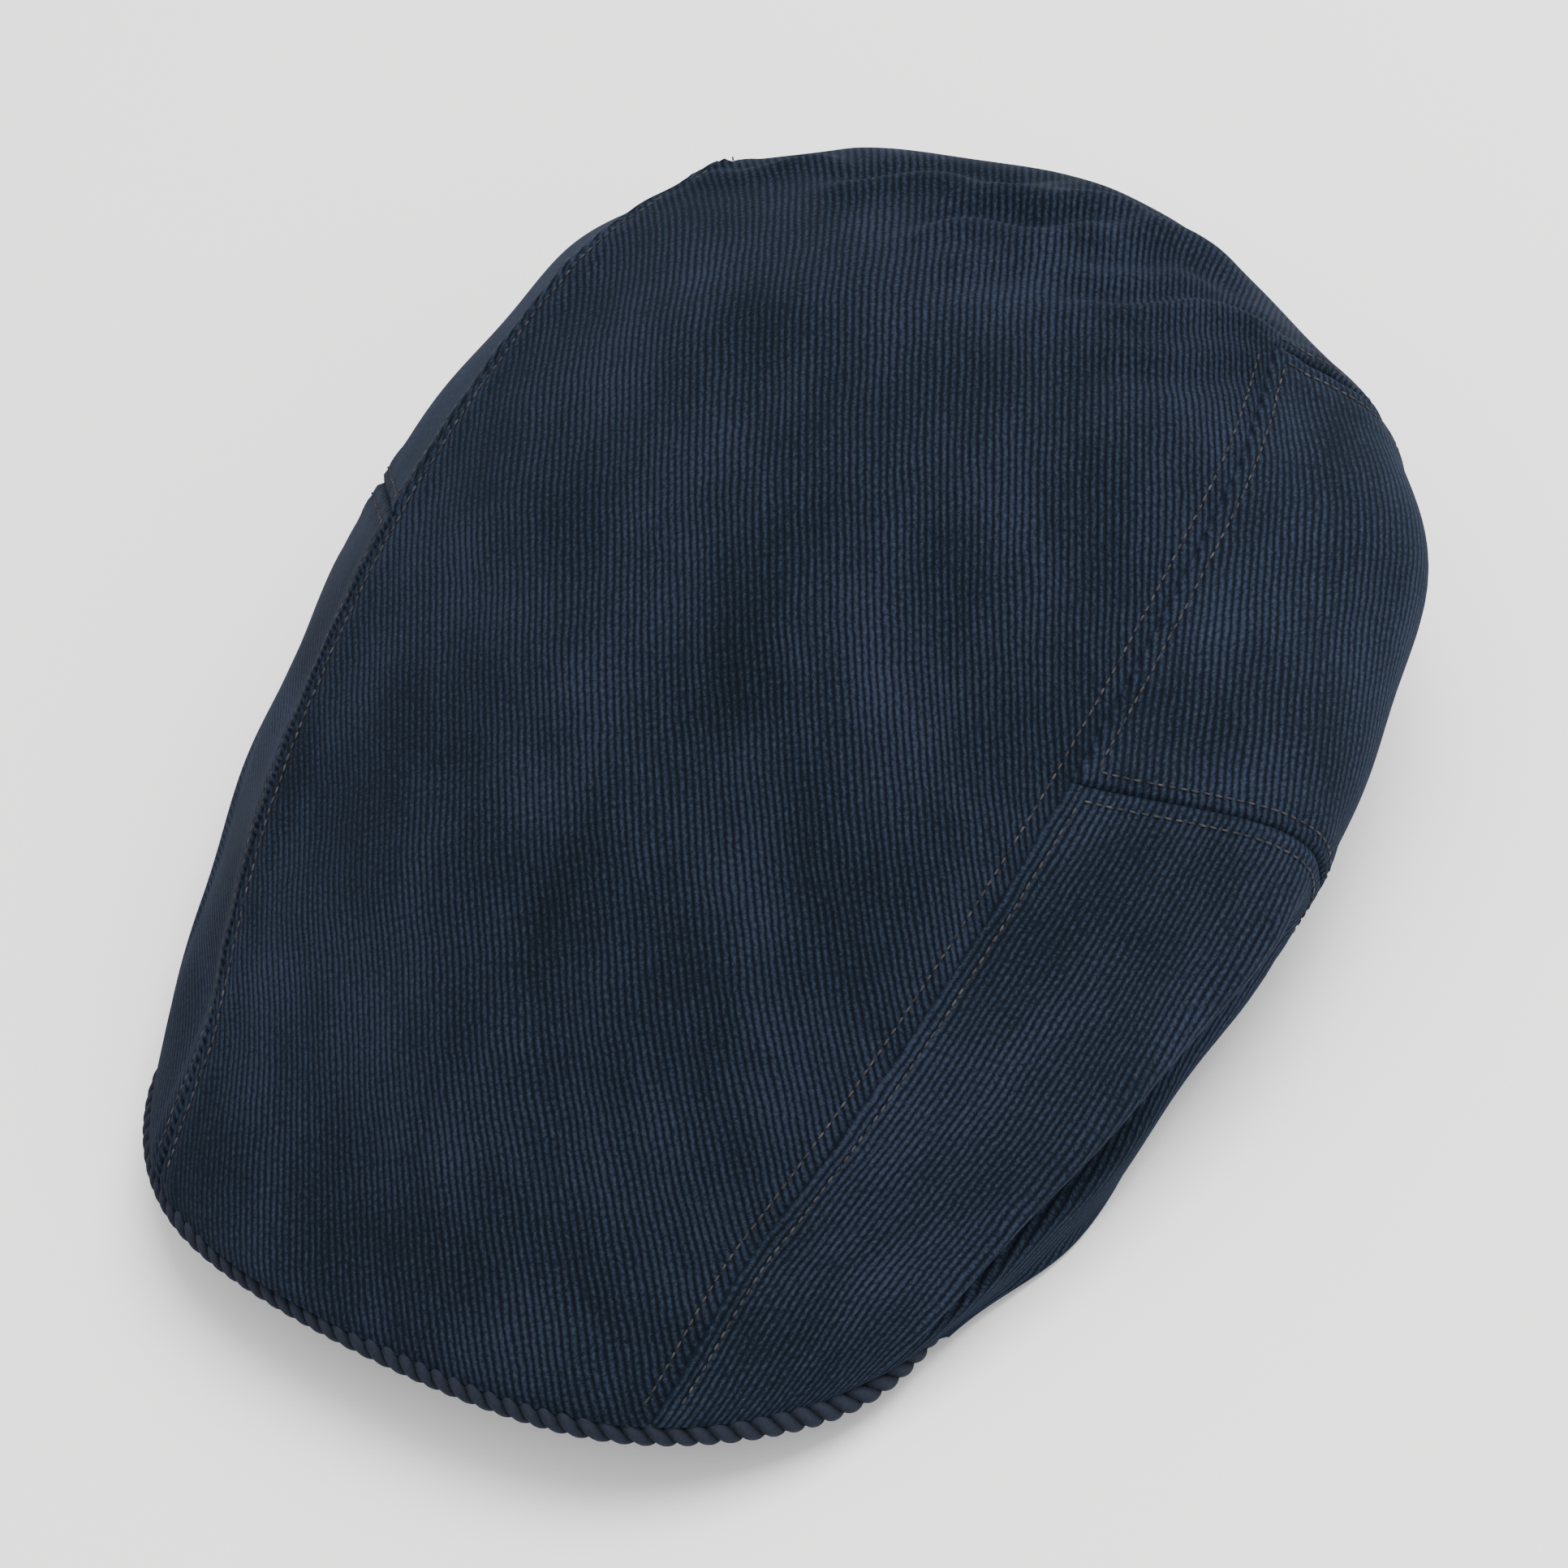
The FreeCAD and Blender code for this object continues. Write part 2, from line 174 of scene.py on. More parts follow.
# %% [markdown]
# ## What stitching does to cloth
# A pressed-open seam is a narrow groove with the cloth standing a little proud on both sides,
# because the seam allowance lies under it.  A row of topstitching presses a fine furrow into
# that raised strip, and the tension of the thread puckers the cloth beside it.  All of these
# are heights over the plain surface, worked out from the distance to the seam.

# %% Seams, puckers and folds as heights
STITCH_ROW = 3.3     # topstitching stands this far from its seam
ALLOWANCE = 8.0      # width of the seam allowance under the cloth


def bell(distance, width):
    return np.exp(-(distance / width) ** 2)


def seam_relief(gap, run):
    """Height near one seam: gap is the distance from it and run the way along it."""
    groove = -0.95 * bell(gap, 0.7)
    allowance = 0.4 / (1 + np.exp((gap - ALLOWANCE) / 0.6))
    furrow = -0.32 * bell(gap - STITCH_ROW, 0.6)
    pucker = np.sin(run / 1.9 + 1.3 * np.sin(run / 11)) + 0.8 * np.sin(run / 3.4 + 2)
    return groove + allowance + furrow + 0.11 * pucker * bell(gap - STITCH_ROW, 4.5)


def sway(points):
    """Broad, soft unevenness of cloth that has been worn and folded."""
    x, y, z = points[..., 0], points[..., 1], points[..., 2]
    return (0.55 * np.sin(x / 13 + 0.7 * np.sin(y / 21)) * np.sin(y / 17 + 1)
            + 0.4 * np.sin((x + y) / 9.5 + np.sin(z / 14)) + 0.25 * np.sin((x - 2 * y) / 13))


def fullness(points):
    """The soft crown stands fuller at its two back corners than its pattern would."""
    corner = rows(86, 92, 62)
    away = np.linalg.norm((points - corner) / rows(38, 34, 36), axis=-1)
    out = (points - rows(0, 20, 0)) * rows(1, 1, 0)
    out /= np.maximum(np.linalg.norm(out, axis=-1, keepdims=True), 1e-6)
    return (out + UP * 0.25) * (3.4 * bell(away, 1))[..., None]


# Wrinkles over the back of the crown: ends in plan, height and half-width.
WRINKLES = [((-2, 96), (22, 106), 2.5, 4.2), ((-30, 102), (2, 117), 2.0, 4.0),
            ((26, 105), (44, 116), -2.2, 4.6), ((38, 91), (60, 105), 2.4, 3.8),
            ((-62, 99), (-44, 107), 1.4, 3.4), ((50, 78), (68, 90), -1.2, 3.8),
            ((8, 84), (36, 94), -1.2, 4.6), ((0, 112), (22, 121), 1.4, 3.4)]


def wrinkle_relief(points):
    """Each wrinkle is a ridge with a hollow behind it, fading out at both ends."""
    total = np.zeros(points.shape[:-1])
    for start, end, height, width in WRINKLES:
        start, end = np.array(start, float), np.array(end, float)
        length = np.linalg.norm(end - start)
        heading = (end - start) / length
        offset = points[..., :2] - start
        run = offset @ heading
        over = (offset @ np.array([-heading[1], heading[0]])
                + 1.8 * np.sin(run / 4.5 + start[0]) - run * (length - run) / (5 * length))
        past_end = np.maximum(0, np.maximum(-run, run - length))
        total += height * (bell(over, width) - 0.8 * bell(over - 1.8 * width, width)
                           ) * bell(past_end, 7)
    return total


def path_length(points, axis):
    """Distance in mm walked along a grid's rows or columns."""
    steps = np.linalg.norm(np.diff(points, axis=axis), axis=-1)
    start = np.zeros_like(np.take(steps, [0], axis=axis))
    return np.concatenate([start, np.cumsum(steps, axis=axis)], axis=axis)


def outward(points):
    """Unit normals of a grid whose columns run outwards and whose rows run back."""
    normal = np.cross(np.gradient(points, axis=1), np.gradient(points, axis=0))
    return normal / np.maximum(np.linalg.norm(normal, axis=-1, keepdims=True), 1e-9)


print("height in the groove, on the furrow and clear of the seam:",
      seam_relief(rows(0, STITCH_ROW, 30), np.zeros(3)).round(2))

# %% [markdown]
# ## The five outer panels
# The crown's strip runs in one piece from the visor over the top and down the back.  Each side
# has a front and a rear panel.  Every grid carries its own cloth coordinates, in millimetres
# across and along the cut piece, so the ribs of the corduroy follow the grain of each panel
# instead of the room.  At the hem the cloth is turned under and runs in to the sweatband.

# %% [markdown]
# The visor comes first, because the front of the crown is drawn out over the roll at its edge.
# Half of its outline is given and the other half mirrored, and the curve goes through both, so
# that it has no corner at the middle.

# %% The visor's outline
VISOR_SIDE = [(51, -137, 0), (82, -114, 0), (92, -84, 0), (84, -40, 0)]
VISOR_EDGE = rows(*[(-x, y, z) for x, y, z in reversed(VISOR_SIDE)], (0, -143, 0), *VISOR_SIDE)
VISOR_RISE, VISOR_HALF = 18.4, 97.0
ROLL = 5.2
RIB = 3.95
TIP_ANGLE = 62.0


def arch(points):
    """Height of the visor's underside."""
    forward = np.clip((-points[..., 1] - 86) / 55, 0, 1)
    rise = VISOR_RISE * (0.78 + 0.22 * forward)
    return rise * (1 - np.minimum(np.abs(points[..., 0]) / VISOR_HALF, 1) ** 4)


def visor_edge(part, inset):
    point = along(VISOR_EDGE, (part + 1) / 2)
    inward = rows(0, -45, 0) - point
    return point + inward / np.linalg.norm(inward, axis=-1, keepdims=True) * inset


# %% Shaping the panels
OPENING_CENTRE = 11.0
OPENING_HALF = rows(86, 96)
HEM_ROWS = 9


def opening_near(points, outside):
    """The point of the head opening's oval, grown by outside, that faces each given point."""
    x, y = points[..., 0], points[..., 1] - OPENING_CENTRE
    turn = np.arctan2(x / OPENING_HALF[0], y / OPENING_HALF[1])
    flat = np.zeros_like(points)
    flat[..., 0] = (OPENING_HALF[0] + outside) * np.sin(turn)
    flat[..., 1] = OPENING_CENTRE + (OPENING_HALF[1] + outside) * np.cos(turn)
    return flat


def turned_hem(edge):
    """Extra cloth rolled under from the hem and in towards the sweatband."""
    target = opening_near(edge, 1.6)
    inward = (target - edge) * rows(1, 1, 0)
    reach = np.linalg.norm(inward, axis=-1, keepdims=True)
    inward /= reach
    reach = np.minimum(reach, 14 + 26 * np.clip((edge[:, 1:2] + 75) / 35, 0, 1))
    turned = []
    for k in range(1, HEM_ROWS + 1):
        part = k / HEM_ROWS
        if part < 0.5:
            angle = math.pi * part
            step = inward * 1.4 * (1 - math.cos(angle)) - UP * 1.3 * math.sin(angle)
        else:
            share = (part - 0.5) / 0.5
            step = inward * (1.4 + (reach - 1.4) * share) - UP * (1.3 - 0.6 * share)
        turned.append(edge + step)
    return np.stack(turned, axis=1)


def meet_the_visor(points, from_front, share):
    """Draws the front of the cloth out over the visor's roll; share fades it along the edge."""
    edge = points[0]
    out = (edge - rows(0, -45, 0)) * rows(1, 1, 0)
    reach = np.linalg.norm(out, axis=-1)
    rim = visor_edge(np.linspace(-1, 1, 401), 0)
    rim_turn = np.arctan2(rim[:, 0], -45 - rim[:, 1])
    rim_reach = np.hypot(rim[:, 0], rim[:, 1] + 45)
    wanted = np.interp(np.arctan2(edge[:, 0], -45 - edge[:, 1]), rim_turn, rim_reach) - 1.2
    target = rows(0, -45, 0) + out / reach[:, None] * wanted[:, None]
    target[:, 2] = arch(target) + ROLL / 2 + 2.5 + 0.9
    shift = (target - edge) * share[:, None]
    part = np.clip(from_front / 34, 0, 1)[..., None]
    return points + shift * (1 - part) ** 2 * (1 + 2 * part)


def soften_shoulder(points, run):
    """Rounds the crease where the strip turns over the back, as thick cloth does."""
    weight = (0.5 * bell(run - 1, 0.09))[..., None]
    weight[:, :2] = weight[:, -2:] = 0
    for _ in range(60):
        mean = points.copy()
        mean[1:-1, 1:-1] = (points[2:, 1:-1] + points[:-2, 1:-1]
                            + points[1:-1, 2:] + points[1:-1, :-2]) / 4
        points = points + (mean - points) * weight
    return points


def shaped_crown(columns, ranks):
    """The crown strip's points and its cloth coordinates, both in mm."""
    run, across = np.meshgrid(np.linspace(0, 2, ranks), np.linspace(-1, 1, columns),
                              indexing="ij")
    plain = soften_shoulder(crown_surface(SHELL, across, run), run)
    plain = meet_the_visor(plain, path_length(plain, 0), np.ones(columns))
    hand = np.where(plain[..., :1] < 0, rows(-1, 1, 1), rows(1, 1, 1))
    plain = plain + fullness(plain * hand) * hand
    width = path_length(plain, 1)
    from_middle = width - width[:, [columns // 2]]
    length = path_length(plain, 0)[:, [columns // 2]] + 0 * width
    gap = np.minimum(width, width[:, [-1]] - width)
    height = seam_relief(gap, length) + sway(plain) * (1 - bell(gap, 10))
    height += wrinkle_relief(plain) * (1 - bell(gap, 4))
    height -= 0.8 * bell(length, 2.2)
    height *= 1 - bell(run - 2, 0.09)
    shaped = plain + outward(plain) * height[..., None]
    shaped[..., 2] = np.maximum(shaped[..., 2], 1.3)
    return shaped, np.stack([from_middle, length, gap], axis=-1)


def side_fold(down, back):
    """The soft fold along the wall's widest line, with the valley that lies under it."""
    fade = bell(np.maximum(0, back - 0.43), 0.06) * bell(np.maximum(0, 0.16 - back), 0.08)
    wander = 0.012 * np.sin(back * 19)
    crest = 2.0 * bell(down - 0.55 - wander, 0.05)
    valley = -3.6 * bell(down - 0.665 - wander, 0.055)
    return (crest + valley) * fade


def lower_wall(down, back):
    """Under the fold the wall stands further out on its way to the hem."""
    low = np.clip((down - 0.62) / 0.38, 0, 1)
    amount = 4.2 * low ** 0.7 * bell(back - 0.29, 0.15)
    return amount[..., None] * rows(0.83, -0.56, 0)


def shaped_side(start, end, columns, ranks):
    """A side panel of the wearer's left, between two places along the top seam."""
    back, down = np.meshgrid(np.linspace(start, end, ranks), np.linspace(0, 1, columns),
                             indexing="ij")
    plain = side_surface(SHELL, down, back)
    if start == 0:
        fade = np.clip((1.02 - down[0]) / 0.3, 0, 1)
        plain = meet_the_visor(plain, path_length(plain, 0), fade)
    plain = plain + fullness(plain) + lower_wall(down, back)
    from_seam = path_length(plain, 1)
    length = path_length(plain, 0)
    length = length[:, [columns // 3]] + 0 * length
    height = seam_relief(from_seam, length)
    side_gap = length[[-1]] - length if end == SEAM_JOIN else length
    height = height + seam_relief(side_gap, from_seam) * (1 - bell(from_seam, 3))
    if end == 1:
        height += seam_relief(length[[-1]] - length, from_seam) * (1 - bell(from_seam, 3))
    else:
        height -= 0.8 * bell(length, 2.2)
    near = np.minimum(from_seam, side_gap)
    height += (sway(plain) + side_fold(down, back)) * (1 - bell(near, 7))
    height *= 1 - bell(down - 1, 0.05)
    shaped = plain + outward(plain) * height[..., None]
    shaped[..., 2] = np.maximum(shaped[..., 2], 1.3)
    cloth = np.stack([from_seam, length, from_seam], axis=-1)
    hem = turned_hem(shaped[:, -1])
    extra = cloth[:, -1:] + rows(1, 0, 0) * (np.arange(1, HEM_ROWS + 1) * 1.2)[None, :, None]
    return np.concatenate([shaped, hem], axis=1), np.concatenate([cloth, extra], axis=1)


def make_sheet(name, points, cloth, mirror=False, thickness=None):
    """A grid object from a table of points in mm, with its cloth coordinates as "cloth"."""
    ranks, columns = points.shape[:2]
    if mirror:
        points = points * rows(-1, 1, 1)
        points, cloth = points[:, ::-1], cloth[:, ::-1]
    work = bmesh.new()
    bmesh.ops.create_grid(work, x_segments=columns - 1, y_segments=ranks - 1, size=0.5)
    spot = {}
    for vertex in work.verts:
        column = round((vertex.co.x + 0.5) * (columns - 1))
        rank = round((vertex.co.y + 0.5) * (ranks - 1))
        spot[vertex.index] = (rank, column)
    places = points * MM
    for vertex in work.verts:
        vertex.co = places[spot[vertex.index]]
    for face in work.faces:
        face.smooth = True
    mesh = bpy.data.meshes.new(name)
    work.to_mesh(mesh)
    work.free()
    coordinates = mesh.attributes.new("cloth", "FLOAT_VECTOR", "POINT")
    flat = np.array([cloth[spot[i]] for i in range(len(mesh.vertices))], dtype=np.float32)
    coordinates.data.foreach_set("vector", flat.ravel())
    piece = bpy.data.objects.new(name, mesh)
    scene.collection.objects.link(piece)
    if thickness:
        shell = piece.modifiers.new("cloth thickness", "SOLIDIFY")
        shell.thickness = thickness * MM
        shell.offset = -1
    return piece


panels = {}
crown_points, crown_cloth = shaped_crown(115, 247)
hem = turned_hem(crown_points[-1])
back_hem_cloth = crown_cloth[-1][:, None] + rows(0, 1, 0) * (
    np.arange(1, HEM_ROWS + 1) * 1.2)[None, :, None]
crown_points = np.concatenate([crown_points, hem.transpose(1, 0, 2)])
crown_cloth = np.concatenate([crown_cloth, back_hem_cloth.transpose(1, 0, 2)])
panels["crown_top"] = make_sheet("crown_top", crown_points, crown_cloth,
                                 thickness=SHELL_CLOTH)
for place, start, end, ranks in (("front", 0, SEAM_JOIN, 110), ("rear", SEAM_JOIN, 1, 90)):
    side_points, side_cloth = shaped_side(start, end, 76, ranks)
    for hand, flip in (("left", False), ("right", True)):
        name = f"side_{place}_{hand}"
        panels[name] = make_sheet(name, side_points, side_cloth, flip,
                                  thickness=SHELL_CLOTH)
for name, piece in panels.items():
    print(name, len(piece.data.polygons), "faces")

# %% [markdown]
# ## The visor
# A stiff board lies between two cloth covers, and its edge is finished with a padded roll whose
# bold ribs run round it like rope.  The roll is real geometry, because its scallops show in the
# outline; the covers are thin sheets over the CAD board.

# %% Covers and the roped edge
def visor_cover(lift):
    """A cover between the sweatband and the edge roll, lift above the underside."""
    part, share = np.meshgrid(np.linspace(-1, 1, 141), np.linspace(0, 1, 36), indexing="ij")
    turn = np.radians(TIP_ANGLE) * part
    inner = np.stack([(OPENING_HALF[0] + 1.5) * np.sin(turn),
                      OPENING_CENTRE - (OPENING_HALF[1] + 1.5) * np.cos(turn), 0 * part], -1)
    outer = visor_edge(part, 3.4)
    points = inner + (outer - inner) * share[..., None]
    points[..., 2] = arch(points) + lift
    cloth = points * rows(1, 1, 0)
    cloth[..., 2] = path_length(points, 1)
    return points, cloth


under_points, under_cloth = visor_cover(0.0)
under_points[..., 2] += 0.12 * np.sin(under_cloth[..., 0] / 6) - 0.5 * bell(
    under_cloth[..., 2] - under_cloth[:, -1:, 2] + 3.5, 0.7)
under_cover = make_sheet("visor_under", under_points, under_cloth, thickness=COVER_CLOTH)
under_cover.modifiers[0].offset = 1
top_points, top_cloth = visor_cover(3.6 + 1.1)
top_cover = make_sheet("visor_top", top_points, top_cloth, thickness=COVER_CLOTH)


def roped_roll():
    """A tube along the visor's edge with ribs slanting round it."""
    part = np.linspace(-0.84, 0.84, 1401)
    centre = visor_edge(part, ROLL / 2)
    centre[:, 2] = arch(centre) + ROLL / 2
    run = path_length(centre[:, None], 0)[:, 0]
    heading = np.gradient(centre, axis=0)
    heading /= np.linalg.norm(heading, axis=1, keepdims=True)
    side = np.cross(heading, UP)
    side /= np.linalg.norm(side, axis=1, keepdims=True)
    rise = np.cross(side, heading)
    turn = np.linspace(0, 2 * math.pi, 29)[None, :]
    wobble = 0.35 * np.sin(run / 9)[:, None] + 0.3 * np.sin(run / 4.1 + 1)[:, None]
    phase = run[:, None] / RIB + 0.45 * np.sin(turn - 0.6) + 0.16 * wobble
    rib = np.abs(np.sin(math.pi * phase)) ** 0.6
    ends = np.clip(np.minimum(run, run[-1] - run) / 6, 0.05, 1)[:, None] ** 0.5
    radius = ROLL / 2 * (0.74 + 0.38 * rib) * ends
    points = (centre[:, None] + side[:, None] * (radius * np.cos(turn))[..., None]
              + rise[:, None] * (radius * np.sin(turn))[..., None])
    cloth = np.stack([run[:, None] + 0 * turn, ROLL / 2 * turn + 0 * run[:, None], rib], -1)
    return points[:, ::-1], cloth[:, ::-1]


roll_points, roll_cloth = roped_roll()
roll = make_sheet("visor_roll", roll_points, roll_cloth)
print("ribs round the visor's edge:", round(roll_cloth[-1, 0, 0] / RIB))

# %% [markdown]
# ## Inside: lining and sweatband
# The lining repeats the crown's panels in thin satin, hanging a little inside the shell.  The
# sweatband is a strip of twill standing round the opening; at the back it is drawn up by the
# elastic inside it, so it gathers into small even pleats.

# %% Lining, sweatband and labels


def lining_relief(points, gap):
    loose = 0.9 * np.sin(points[..., 0] / 7 + np.sin(points[..., 1] / 12))
    loose += 0.7 * np.sin(points[..., 1] / 9 + 0.6 * np.sin(points[..., 2] / 8))
    under_label = bell(np.linalg.norm(points[..., :2] - rows(0, 36), axis=-1), 30)
    return loose * (1 - bell(gap, 12)) * (1 - under_label) - 0.8 + 0.7 * bell(gap, 1.0)


run, across = np.meshgrid(np.linspace(0, 2, 150), np.linspace(-1, 1, 70), indexing="ij")
plain = crown_surface(LINING, across, run)
wide = path_length(plain, 1)
gap = np.minimum(wide, wide[:, [-1]] - wide)
lining_cloth = np.stack([wide, path_length(plain, 0), gap], -1)
lining = {"lining_top": make_sheet("lining_top_cloth", plain + outward(plain)
                                   * lining_relief(plain, gap)[..., None], lining_cloth,
                                   thickness=SATIN_CLOTH)}
back, down = np.meshgrid(np.linspace(0, 1, 120), np.linspace(0, 1, 50), indexing="ij")
plain = side_surface(LINING, down, back)
wide = path_length(plain, 1)
lining_cloth = np.stack([wide, path_length(plain, 0), wide], -1)
plain = plain + outward(plain) * lining_relief(plain, wide)[..., None]
for hand, flip in (("left", False), ("right", True)):
    lining[f"lining_side_{hand}"] = make_sheet(f"lining_{hand}_cloth", plain, lining_cloth,
                                               flip, thickness=SATIN_CLOTH)


def sweatband():
    """A closed band: its section runs up the inside, over the edge and down the outside."""
    turn = np.linspace(0, 2 * math.pi, 481)[:, None]
    section = np.linspace(0, 1, 40)[None, :]
    forward = np.clip(-np.cos(turn + math.pi), -1, 1)
    front = np.clip((forward - 0.35) / 0.65, 0, 1)
    bottom = 0.6 + 14.5 * front ** 1.3
    top = 28 + 13 * np.clip((forward + 0.2) / 1.2, 0, 1)
    inside = section < 0.5
    climb = np.where(inside, section / 0.5, (1 - section) / 0.5)
    rounding = np.minimum(1, np.minimum(climb, 1 - climb) / 0.03 + 0.15)
    half = 0.75 * rounding
    middle = 0.5 + 0.5 * np.sin(climb * math.pi)
    elastic = bell(np.maximum(0, np.abs(turn - math.pi) - 0.62), 0.08)
    pleat = elastic * middle * (0.8 * np.sin(turn * 118 + np.sin(climb * 5))
                                + 0.4 * np.sin(turn * 71 + 1))
    offset = np.where(inside, -half, half) + pleat + 0.3 * np.sin(turn * 9) * middle
    x = (OPENING_HALF[0] + 0.5 + offset) * np.sin(turn)
    y = OPENING_CENTRE - (OPENING_HALF[1] + 0.5 + offset) * np.cos(turn)
    z = bottom + (top - bottom) * climb
    points = np.stack([x, y, z], -1)
    run = turn * 91 + 0 * climb
    return points, np.stack([run, z, climb + 0 * turn], -1)


band_points, band_cloth = sweatband()
band = make_sheet("sweatband_cloth", band_points, band_cloth)


def blank_label(name, seat, across, up, size, lift):
    """A small woven label laid over a seat point, slightly curved."""
    columns, ranks = 29, 21
    v, u = np.meshgrid(np.linspace(-1, 1, ranks), np.linspace(-1, 1, columns), indexing="ij")
    over = np.cross(across, up)
    points = (seat + across * (u * size[0] / 2)[..., None] + up * (v * size[1] / 2)[..., None]
              + over * (lift + 0.35 * np.sin(2.5 * u) * v)[..., None])
    edge = np.minimum(size[0] / 2 * (1 - abs(u)), size[1] / 2 * (1 - abs(v)))
    return make_sheet(name, points, np.stack([u * size[0] / 2, v * size[1] / 2, edge], -1),
                      thickness=LABEL_CLOTH)


def unit(*parts):
    vector = rows(*parts)
    return vector / np.linalg.norm(vector)


label_low, label_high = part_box("lining_label")
label_seat = (np.array(label_low) + np.array(label_high)) / 2 / MM
label = blank_label("lining_label_cloth", label_seat, rows(-1, 0, 0), unit(0, 0.98, 0.19),
                    (44, 28), 1.7)
tab_low, tab_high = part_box("size_tab")
tab_seat = (np.array(tab_low) + np.array(tab_high)) / 2 / MM
tab = blank_label("size_tab_cloth", tab_seat, rows(-1, 0, 0), rows(0, 0, 1), (18, 14), -1.5)
print("lining and band done; label at", label_seat.round(1))

# %% [markdown]
# ## Topstitching
# Every seam carries a row of thread on each side.  A stitch is a short, slightly flattened
# capsule that dips into the cloth at both ends, so each row is built one stitch at a time
# along the furrow that was pressed for it.

# %% Rows of thread
STITCH, THREAD = 2.35, 0.42
STITCH_VERTICES = 12    # of one capsule


def row_on(points, cloth_gap, wanted):
    """Follows a grid's rows, finding in each the point where the gap to the seam is wanted."""
    normals = outward(points)
    places, faces = [], []
    for line, gaps, normal in zip(points, cloth_gap, normals):
        places.append([np.interp(wanted, gaps, line[:, k]) for k in range(3)])
        faces.append([np.interp(wanted, gaps, normal[:, k]) for k in range(3)])
    return np.array(places), np.array(faces)


def stitches_along(work, places, faces, start=2.0, end=2.0):
    run = path_length(places[:, None], 0)[:, 0]
    count = int((run[-1] - start - end) / STITCH)
    for k in range(count):
        at = start + (k + 0.5) * STITCH + random.uniform(-0.12, 0.12)
        spot = np.array([np.interp(at, run, places[:, j]) for j in range(3)])
        ahead = np.array([np.interp(at + 0.6, run, places[:, j]) for j in range(3)])
        behind = np.array([np.interp(at - 0.6, run, places[:, j]) for j in range(3)])
        normal = Vector([np.interp(at, run, faces[:, j]) for j in range(3)]).normalized()
        heading = Vector(ahead - behind).normalized()
        side = normal.cross(heading).normalized()
        heading = (heading + side * random.uniform(-0.07, 0.07)).normalized()
        side = normal.cross(heading).normalized()
        length = STITCH * random.uniform(0.36, 0.41)
        shape = Matrix((heading * length, side * THREAD * 0.6, normal * THREAD * 0.5)
                       ).transposed().to_4x4()
        place = Matrix.Translation((Vector(spot) + normal * 0.16) * MM)
        scale = Matrix.Scale(MM, 4)
        bmesh.ops.create_icosphere(work, subdivisions=1, radius=1, matrix=place @ scale @ shape)


def thread_piece(name, seams):
    work = bmesh.new()
    for places, faces, start, end in seams:
        stitches_along(work, places, faces, start, end)
    for face in work.faces:
        face.smooth = True
    mesh = bpy.data.meshes.new(name)
    work.to_mesh(mesh)
    work.free()
    piece = bpy.data.objects.new(name, mesh)
    scene.collection.objects.link(piece)
    return piece


def both_hands(places, faces, start, end):
    flip = rows(-1, 1, 1)
    return [(places, faces, start, end), (places * flip, faces * flip, start, end)]


crown_rows = len(crown_points) - HEM_ROWS
half = crown_points.shape[1] // 2
crown_half = crown_points[:crown_rows, half:][:, ::-1]
crown_gap = crown_cloth[:crown_rows, half:, 2][:, ::-1]
places, faces = row_on(crown_half, crown_gap, STITCH_ROW)
corner = crown_rows // 2
seams = both_hands(places[:corner + 1], -faces[:corner + 1], 5, 4)
seams += both_hands(places[corner:], -faces[corner:], 4, 6)
front_points, front_cloth = shaped_side(0, SEAM_JOIN, 76, 110)
rear_points, rear_cloth = shaped_side(SEAM_JOIN, 1, 76, 90)
for points, cloth, seam_at_end in ((front_points, front_cloth, True),
                                   (rear_points, rear_cloth, False)):
    places, faces = row_on(points, cloth[..., 2], STITCH_ROW)
    seams += both_hands(places, faces, 5 if seam_at_end else 4, 4)
    panel, lengths = points[:, :76].transpose(1, 0, 2), cloth[:, :76, 1].T
    gaps = lengths[:, [-1]] - lengths if seam_at_end else lengths
    order = slice(None, None, -1) if seam_at_end else slice(None)
    places, faces = row_on(panel[:, order], gaps[:, order], STITCH_ROW)
    seams += both_hands(places, faces if seam_at_end else -faces, 4, 3)
rear = rear_points[:, :76].transpose(1, 0, 2)[:, ::-1]
rear_gap = (rear_cloth[:, :76, 1].T[:, [-1]] - rear_cloth[:, :76, 1].T)[:, ::-1]
places, faces = row_on(rear, rear_gap, STITCH_ROW)
seams += both_hands(places, faces, 4, 3)
thread = thread_piece("topstitching", seams)
print("stitches:", len(thread.data.vertices) // STITCH_VERTICES)

# %% [markdown]
# ## Materials
# Corduroy is a pile cloth: raised ribs of cut cotton with bare ground between them.  The pile
# scatters light at its tips, which the sheen gives, and the colour adds a painted highlight on the
# rib tops and painted shade in the grooves.  The pile lies unevenly, so the ribs are flecked and
# the colour drifts in soft patches.  Every pattern is measured in millimetres of cloth, so it
# keeps its scale on every panel.

# %% A few helpers for node trees


def linear(code):
    """A hex colour as the linear values that a shader works in."""
    parts = [int(code[i:i + 2], 16) / 255 for i in (0, 2, 4)]
    return [c / 12.92 if c <= 0.04045 else ((c + 0.055) / 1.055) ** 2.4 for c in parts] + [1]


def add(material, kind, settings=None, **links):
    """Adds one node, gives it its settings and joins its inputs."""
    tree = material.node_tree
    node = tree.nodes.new(kind)
    for key, value in (settings or {}).items():
        if hasattr(node, key):
            setattr(node, key, value)
        else:
            node.inputs[int(key[1:]) if key[0] == "#" else key].default_value = value
    for key, source in links.items():
        slot = int(key[1:]) if key[0] == "i" and key[1:].isdigit() else key.replace("_", " ")
        tree.links.new(source, node.inputs[slot])
    return node


def calc(material, operation, first, second=None):
    settings = {"operation": operation}
    links = {}
    for index, value in enumerate((first, second)):
        if value is None:
            continue
        if isinstance(value, (int, float)):
            settings[f"#{index}"] = value
        else:
            links[f"i{index}"] = value
    return add(material, "ShaderNodeMath", settings, **links).outputs[0]


